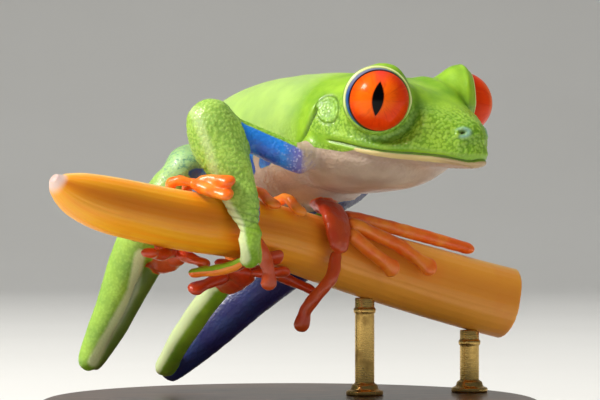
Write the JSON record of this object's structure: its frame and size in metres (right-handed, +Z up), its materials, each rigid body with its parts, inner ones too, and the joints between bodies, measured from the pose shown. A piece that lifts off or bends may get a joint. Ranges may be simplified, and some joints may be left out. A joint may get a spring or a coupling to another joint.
{
  "type": "red-eyed tree frog model",
  "caption": "Life-size still model of a red-eyed tree frog gripping a short cut length of flower bract, held by thin rods over a flat round base for display.",
  "frame": {"origin": "centre of the stand base's underside, which is the middle of the whole model's bounding box at its lowest level", "axes": "+X to the viewer's right along the display front, toward which the frog's head turns; +Y away from the display front, the way the trunk recedes; +Z up. The base spans the full X and Y extents."},
  "size_m": [0.052, 0.054, 0.0375],
  "materials": {
    "skin_green": "satin, finely granular skin",
    "skin_cream": "satin, finely granular skin",
    "skin_orange": "satin, smooth moist skin",
    "skin_blue": "satin, finely granular skin",
    "eye_red": "wet gloss",
    "bract_yellow": "satin, faintly ribbed leaf skin",
    "stand_wood": "dark stained, satin varnish",
    "stand_brass": "brushed"
  },
  "bodies": {
    "root": {"eye_left": "eye_red", "eye_right": "eye_red", "finger_1_left": "skin_orange", "finger_1_right": "skin_orange", "finger_2_left": "skin_orange", "finger_2_right": "skin_orange", "finger_3_left": "skin_orange", "finger_3_right": "skin_orange", "finger_4_left": "skin_orange", "finger_4_right": "skin_orange", "foot_left": "skin_orange", "foot_right": "skin_orange", "forearm_left": "skin_green", "forearm_right": "skin_green", "hand_left": "skin_orange", "hand_right": "skin_green", "head": "skin_green", "lower_jaw": "skin_cream", "perch_bract": "bract_yellow", "shank_left": "skin_blue", "shank_right": "skin_green", "stand_base": "stand_wood", "stand_rod_1": "stand_brass", "stand_rod_2": "stand_brass", "tarsus_left": "skin_green", "tarsus_right": "skin_green", "thigh_left": "skin_green", "thigh_right": "skin_green", "toe_1_left": "skin_orange", "toe_1_right": "skin_orange", "toe_2_left": "skin_orange", "toe_2_right": "skin_orange", "toe_3_left": "skin_orange", "toe_3_right": "skin_orange", "toe_4_left": "skin_orange", "toe_4_right": "skin_orange", "toe_5_left": "skin_orange", "toe_5_right": "skin_orange", "trunk": "skin_green", "upper_arm_left": "skin_blue", "upper_arm_right": "skin_blue"}
  },
  "joints": []
}
